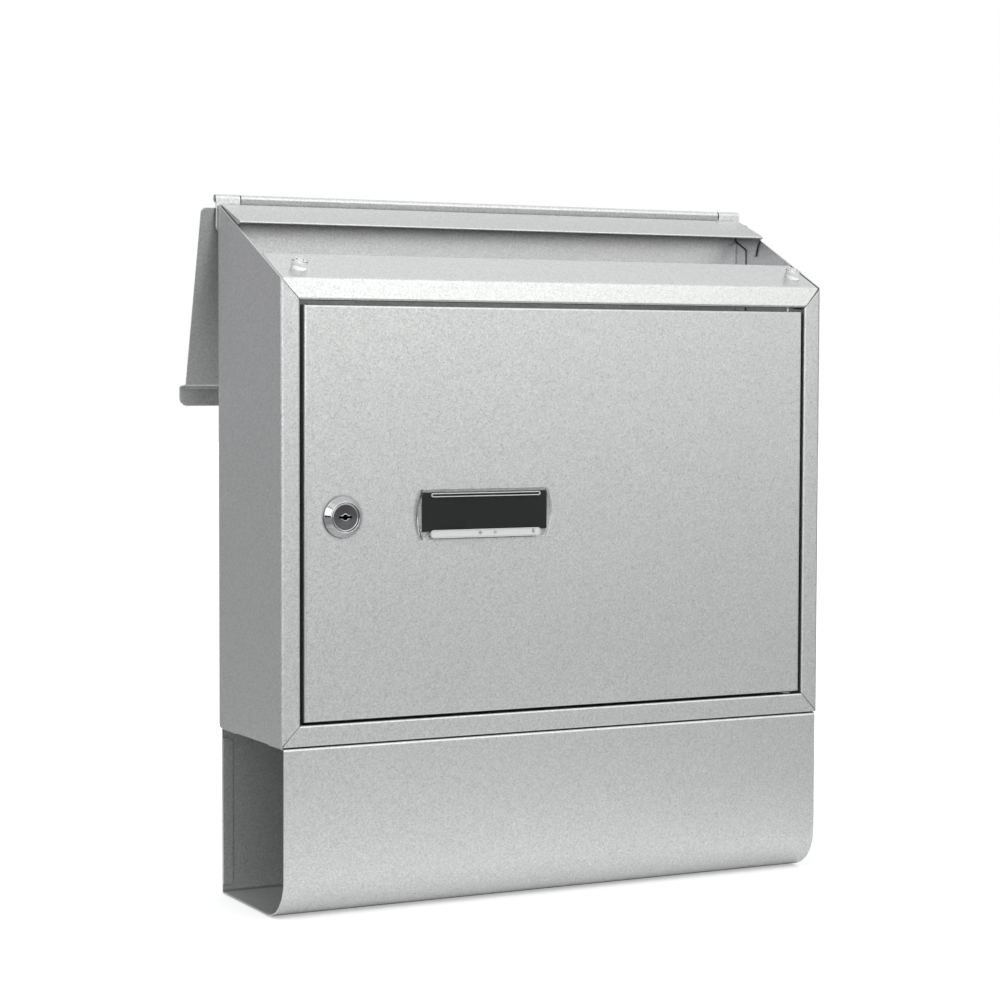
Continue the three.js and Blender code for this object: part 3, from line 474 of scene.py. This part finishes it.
def shade_by_angle_group():
    """Geometry nodes that shade a mesh smooth, except across edges sharper than SHARP_ANGLE."""
    group = bpy.data.node_groups.new("shade_by_angle", "GeometryNodeTree")
    group.interface.new_socket("Geometry", in_out="INPUT", socket_type="NodeSocketGeometry")
    group.interface.new_socket("Geometry", in_out="OUTPUT", socket_type="NodeSocketGeometry")
    start = group.nodes.new("NodeGroupInput")
    end = group.nodes.new("NodeGroupOutput")
    faces = group.nodes.new("GeometryNodeSetShadeSmooth")
    faces.domain = "FACE"
    edges = group.nodes.new("GeometryNodeSetShadeSmooth")
    edges.domain = "EDGE"
    edges.inputs["Shade Smooth"].default_value = False
    angle = group.nodes.new("GeometryNodeInputMeshEdgeAngle")
    compare = group.nodes.new("FunctionNodeCompare")
    compare.data_type = "FLOAT"
    compare.operation = "GREATER_THAN"
    compare.inputs[1].default_value = SHARP_ANGLE
    group.links.new(start.outputs[0], faces.inputs["Geometry"])
    group.links.new(faces.outputs[0], edges.inputs["Geometry"])
    group.links.new(angle.outputs["Unsigned Angle"], compare.inputs[0])
    group.links.new(compare.outputs[0], edges.inputs["Selection"])
    group.links.new(edges.outputs[0], end.inputs[0])
    return group


SHADE_BY_ANGLE = shade_by_angle_group()


def shade(piece):
    """Smooth bends, sharp edges, and flat faces that stay flat."""
    piece.modifiers.new("shading", "NODES").node_group = SHADE_BY_ANGLE
    flatten = piece.modifiers.new("flats", "WEIGHTED_NORMAL")
    flatten.keep_sharp = True


def refine(node, bevel):
    """Welds a node's facets into whole faces, rounds its edges by up to `bevel` and smooths its bends."""
    weld = node.modifiers.new("weld", "WELD")
    weld.merge_threshold = WELD_DISTANCE
    dissolve = node.modifiers.new("dissolve", "DECIMATE")
    dissolve.decimate_type = "DISSOLVE"
    dissolve.angle_limit = FLAT_ANGLE
    rounding = node.modifiers.new("rounding", "BEVEL")
    rounding.width = bevel
    rounding.segments = 2
    rounding.limit_method = "ANGLE"
    rounding.angle_limit = ROUNDED_ANGLE
    rounding.use_clamp_overlap = True
    shade(node)


def dress(node, material):
    """Puts one material in every slot of a CAD node."""
    if not node.material_slots:
        node.data.materials.append(material)
    for slot in node.material_slots:
        slot.material = material


# ---------------------------------------------------------------- mesh pieces


def new_object(name, bm):
    bmesh.ops.recalc_face_normals(bm, faces=bm.faces)
    mesh = bpy.data.meshes.new(name)
    bm.to_mesh(mesh)
    bm.free()
    piece = bpy.data.objects.new(name, mesh)
    bpy.context.scene.collection.objects.link(piece)
    return piece


def new_piece(name, bm, material, body, place):
    """Turns a bmesh in millimetres into a piece that rides on a body."""
    piece = new_object(name, bm)
    piece.data.transform(place)
    piece.data.materials.append(material)
    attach(piece, body)
    shade(piece)
    return piece


def loft(loops, closed=False):
    """A shape through loops of points, each loop with as many points as the next."""
    bm = bmesh.new()
    rings = [[bm.verts.new(point) for point in loop] for loop in loops]
    if closed:
        rings.append(rings[0])
    else:
        bm.faces.new(rings[0])
        bm.faces.new(rings[-1])
    for lower, upper in zip(rings, rings[1:]):
        for i in range(len(lower)):
            j = (i + 1) % len(lower)
            bm.faces.new((lower[i], lower[j], upper[j], upper[i]))
    return bm


def turned(profile, steps=96, closed=False):
    """A lathe shape round Z from (radius, height) points. A `closed` profile makes a ring."""
    turns = [math.tau * i / steps for i in range(steps)]
    return loft([
        [(radius * math.cos(turn), radius * math.sin(turn), height) for turn in turns]
        for radius, height in profile
    ], closed)


def fillet(corner, before, after, steps=4):
    """Points of a smooth turn at a profile's corner, between the points before and after it."""
    corner, before, after = Vector(corner), Vector(before), Vector(after)
    return [
        tuple(before.lerp(corner, t).lerp(corner.lerp(after, t), t))
        for t in (i / steps for i in range(steps + 1))
    ]


def raised(outline, low, high, edge, steps=4):
    """A straight-sided shape with a rounded upper edge. `outline(inset)` gives its points."""
    levels = [(0, low)]
    for i in range(steps + 1):
        turn = math.pi / 2 * i / steps
        levels.append((edge * (1 - math.cos(turn)), high - edge * (1 - math.sin(turn))))
    return loft([[(x, y, height) for x, y in outline(inset)] for inset, height in levels])


def rounded_bar(half_length, low, high, radius, steps=8):
    """The outline of a bar with rounded corners, as a function of its inset."""
    middle, half_height = (low + high) / 2, (high - low) / 2

    def outline(inset):
        turn_radius = radius - inset
        points = []
        for quarter, (sx, sy) in enumerate(((1, 1), (-1, 1), (-1, -1), (1, -1))):
            for i in range(steps + 1):
                turn = math.pi / 2 * (quarter + i / steps)
                points.append((
                    sx * (half_length - radius) + turn_radius * math.cos(turn),
                    middle + sy * (half_height - radius) + turn_radius * math.sin(turn),
                ))
        return points

    return outline


def bowed_plate(half_width, wing, half_height, steps=16):
    """The outline of a plate whose ends bow outwards by `wing`, as a function of its inset."""

    def outline(inset):
        rise = half_height - inset
        radius = (rise * rise + wing * wing) / (2 * wing)
        reach = math.asin(rise / radius)
        middle = half_width - inset + wing - radius
        points = []
        for side in (1, -1):
            for i in range(steps + 1):
                turn = -reach + 2 * reach * i / steps
                points.append((side * (middle + radius * math.cos(turn)), side * radius * math.sin(turn)))
        return points

    return outline


def facing_front(centre):
    """Places a shape so that its Z points out of the door, with X to the right and Y up."""
    turn = Matrix(((1, 0, 0), (0, 0, -1), (0, 1, 0))).to_4x4()
    return Matrix.Scale(MM, 4) @ Matrix.Translation(centre) @ turn


def cut(name, base, tool):
    """The base shape with the tool's shape taken out of it."""
    first = new_object(name, base)
    second = new_object(f"{name}_tool", tool)
    pocket = first.modifiers.new("pocket", "BOOLEAN")
    pocket.operation = "DIFFERENCE"
    pocket.solver = "EXACT"
    pocket.object = second
    bpy.context.view_layer.update()
    shown = first.evaluated_get(bpy.context.evaluated_depsgraph_get())
    bm = bmesh.new()
    bm.from_mesh(shown.to_mesh())
    bmesh.ops.remove_doubles(bm, verts=bm.verts, dist=0.001)
    for item in (first, second):
        mesh = item.data
        bpy.data.objects.remove(item)
        bpy.data.meshes.remove(mesh)
    return bm


# ---------------------------------------------------------------- lock, name plate and bumpers


def lock_bezel(material):
    """The lock's threaded barrel and its conical bezel, turned as one piece."""
    profile = [
        (BARREL_BORE, BARREL_END), (BARREL_RADIUS - 0.4, BARREL_END), (BARREL_RADIUS, BARREL_END + 0.4),
    ]
    for i in range(THREAD_TURNS):
        start = THREAD_START + i * THREAD_PITCH
        profile += [(BARREL_RADIUS, start), (BARREL_RADIUS - THREAD_DEPTH, start + THREAD_PITCH / 2)]
    profile += [(BARREL_RADIUS, -2.0), (BARREL_RADIUS, HEAD_BACK), (HEAD_RADIUS - 0.3, HEAD_BACK)]

    # The head: its back edge, its rim, the top of its cone and the lip of the well.
    profile += fillet(
        (HEAD_RADIUS, HEAD_BACK), (HEAD_RADIUS - 0.25, HEAD_BACK), (HEAD_RADIUS, HEAD_BACK + 0.25))
    profile += fillet(
        (HEAD_RADIUS, CONE_FOOT), (HEAD_RADIUS, CONE_FOOT - 0.3), (HEAD_RADIUS - 0.3, CONE_FOOT + 0.3))
    profile += fillet(
        (CONE_TOP_RADIUS, HEAD_FACE), (CONE_TOP_RADIUS + 0.35, HEAD_FACE - 0.55),
        (CONE_TOP_RADIUS - 0.25, HEAD_FACE))
    profile += fillet(
        (WELL_RADIUS, HEAD_FACE), (WELL_RADIUS + 0.25, HEAD_FACE), (WELL_RADIUS, HEAD_FACE - 0.3))
    profile += [(WELL_RADIUS, WELL_FLOOR), (BARREL_BORE, WELL_FLOOR)]
    place = facing_front(LOCK_CENTRE)
    piece = new_piece("lock_bezel", turned(profile, closed=True), material, "door", place)
    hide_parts("lock_housing")


def lock_rims(material):
    """Bright rims round the plug's face and round its keyway."""
    place = facing_front(LOCK_CENTRE)
    outer, inner = PLUG_RIM_OUTER, PLUG_RIM_INNER
    rim = [(outer - 0.07, PLUG_RIM_FOOT)]
    rim += fillet((outer, 4.78), (outer, 4.5), (outer - 0.24, 4.82))
    rim += fillet((inner + 0.05, 4.8), (inner + 0.3, 4.82), (inner, 4.5))
    rim += [(inner, PLUG_RIM_FOOT)]
    new_piece("plug_rim", turned(rim, closed=True), material, "lock", place)
    # Distance out from the keyway, and height: up the lip's outside, over it and down inside the keyway.
    lip = loft([
        [(x, y, height) for x, y in keyway_outline(grow)]
        for grow, height in ((0.42, 4.05), (0.42, 4.36), (0.22, 4.42), (0.02, 4.3), (0.02, 3.4))
    ], closed=True)
    new_piece("keyway_rim", lip, material, "lock", place)


def keyway_outline(grow, steps=12):
    """The keyway's outline, wider at its middle, moved outwards by `grow` millimetres."""
    half, slot_half, bore = KEYWAY_HALF + grow, KEYWAY_SLOT_HALF + grow, KEYWAY_BORE + grow
    meet = math.asin(slot_half / bore)
    points = []
    for side in (1, -1):
        points += [(side * half, -side * slot_half), (side * half, side * slot_half)]
        for i in range(steps + 1):
            turn = meet + (math.pi - 2 * meet) * i / steps
            points.append((side * bore * math.cos(turn), side * bore * math.sin(turn)))
    return points


def name_plate(material, bar_material):
    """Clear holder with bowed ends, a raised bar along the top and bottom, and three small studs."""
    face = STICK_GAP + PLATE_THICKNESS
    centre = facing_front(PLATE_CENTRE)
    base = raised(bowed_plate(PLATE_HALF_WIDTH, PLATE_BOW, PLATE_HALF_HEIGHT), STICK_GAP, face, PLATE_EDGE)
    hollow = rounded_bar(POCKET_HALF_WIDTH, -POCKET_HALF_HEIGHT, POCKET_HALF_HEIGHT, 1.0)
    pocket = raised(hollow, STICK_GAP - 1, STICK_GAP + POCKET_DEPTH, 0.2)
    bm = cut("name_plate_frame", base, pocket)
    piece = new_piece("name_plate_frame", bm, material, "door", centre)
    piece.visible_shadow = False
    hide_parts("name_plate_holder")

    # A thin rim round each bar: insets and heights, from its outer foot to its inner one.
    bars = {"top": rounded_bar(35.5, 10.0, 12.3, 1.1), "bottom": rounded_bar(35.8, -13.8, -9.0, 2.0)}
    section = (
        (0.0, face - SINK), (0.03, face + 0.75), (0.18, face + 0.9),
        (0.38, face + 0.9), (0.52, face + 0.72), (0.55, face - SINK),
    )
    for name, outline in bars.items():
        rim = loft([[(x, y, height) for x, y in outline(inset)] for inset, height in section], closed=True)
        new_piece(f"name_plate_rim_{name}", rim, bar_material, "door", centre)

    ledge = raised(rounded_bar(35.2, -13.2, -9.6, 1.4), face - SINK, face + 0.6, 0.2)
    new_piece("name_plate_ledge", ledge, bar_material, "door", centre)
    for i, x in enumerate(STUD_PLACES_X):
        stud = turned([(0.95, -0.2), (1.0, 0.2), (0.9, 0.3), (0.65, 0.34)], 24)
        place = centre @ Matrix.Translation((x, STUD_Y, face + 0.55))
        new_piece(f"name_plate_stud_{i + 1}", stud, material, "door", place)


def bumper(name, x, down_slope, material):
    """A clear round bumper with soft edges and a dimple in its top."""
    radius, top = BUMPER_RADIUS, BUMPER_HEIGHT
    profile = [(radius - 0.3, 0.0)]
    profile += fillet((radius, 0.0), (radius - 0.25, 0.0), (radius, 0.3))
    profile += fillet((radius, top), (radius, top - 0.8), (radius - 0.8, top), 6)
    profile += fillet((2.2, top), (2.7, top), (1.8, top - 0.35))
    profile += fillet((1.3, 4.25), (1.6, 4.45), (0.7, 4.2))
    lean = Matrix.Rotation(SLOPE_ANGLE, 4, "X")
    place = (
        Matrix.Scale(MM, 4) @ Matrix.Translation((0, 0, SLOPE_TOP_Z)) @ lean
        @ Matrix.Translation((x, -down_slope, STICK_GAP))
    )
    piece = new_piece(f"bumper_{name}", turned(profile, 64), material, "box", place)
    piece.visible_shadow = False
    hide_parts(f"lid_bumper_{name}")


# ---------------------------------------------------------------- assembly


def dress_nodes(materials):
    """Gives every CAD node its material and its rounded edges."""
    for part in frame["record"]["subparts"]:
        slot = part["material_slot"]
        node = frame["nodes"][part["node"]]
        dress(node, materials[slot])
        refine(node, EDGE_ROUNDING[slot] * MM)


def add_floor():
    bm = bmesh.new()
    bmesh.ops.create_circle(bm, cap_ends=True, segments=96, radius=FLOOR_RADIUS)
    floor = new_object("floor", bm)
    floor.location.z = FLOOR_Z
    floor.data.materials.append(floor_paper())


def add_world():
    """White behind the object, and a soft room for its light and reflections."""
    world = bpy.data.worlds.new("studio")
    world.use_nodes = True
    bpy.context.scene.world = world
    room = Shader(world.node_tree, "Generated")
    front = room.vector("DOT_PRODUCT", room.place, FRONT_GLOW)
    side = room.vector("DOT_PRODUCT", room.place, DARK_SIDE)
    left = room.vector("DOT_PRODUCT", room.place, SIDE_GLOW)
    height = room.split(room.place)["Z"]
    level = room.ramp(front, GLOW_EDGE, GLOW_FULL, ROOM_LEVEL, ROOM_LEVEL + GLOW_LEVEL)
    level = room.maths("ADD", level, room.ramp(height, CEILING_FROM, CEILING_TO, 0, CEILING_LEVEL))
    left_glow = room.ramp(left, SIDE_GLOW_EDGE, SIDE_GLOW_FULL, 0, SIDE_GLOW_LEVEL)
    level = room.maths("ADD", level, left_glow)
    level = room.maths("SUBTRACT", level, room.ramp(side, DARK_EDGE, DARK_FULL, 0, DARK_LEVEL))
    glow = room.nodes.new("ShaderNodeBackground")
    room.join(level, glow.inputs["Strength"])
    tint = room.mix(room.ramp(height, TINT_FROM, TINT_TO), (1.0, 0.99, 1.03), (0.985, 1.0, 1.0))
    tint = room.mix(room.ramp(front, GLOW_EDGE, GLOW_FULL), tint, (0.985, 1.0, 0.98))
    room.join(tint, glow.inputs["Color"])
    white = room.nodes.new("ShaderNodeBackground")
    white.inputs["Color"].default_value = (1, 1, 1, 1)
    ray = room.nodes.new("ShaderNodeLightPath")
    choose = room.nodes.new("ShaderNodeMixShader")
    room.join(ray.outputs["Is Camera Ray"], choose.inputs["Fac"])
    room.join(glow.outputs["Background"], choose.inputs[1])
    room.join(white.outputs["Background"], choose.inputs[2])
    output = room.nodes.new("ShaderNodeOutputWorld")
    room.join(choose.outputs["Shader"], output.inputs["Surface"])


bpy.context.scene.view_settings.view_transform = "Standard"
add_camera()
add_world()
add_lights()
add_floor()

chrome = bright_chrome()
silver = silver_paint()
clear = clear_plastic("clear_plastic", *CLEAR_TINTS)
dress_nodes({
    "silver_paint": silver,
    "steel": plated_steel(),
    "chrome": chrome,
    "plug_metal": turned_plug(),
    "clear_plastic": clear,
    "card": charcoal_card(),
    "nylon": grey_nylon(),
})
lock_bezel(chrome)
lock_rims(chrome)
tinted = clear_plastic("tinted_plastic", *PLATE_TINTS)
name_plate(tinted, frosted_plastic())
for side_name, (bumper_x, bumper_down) in BUMPERS.items():
    bumper(side_name, bumper_x, bumper_down, clear)
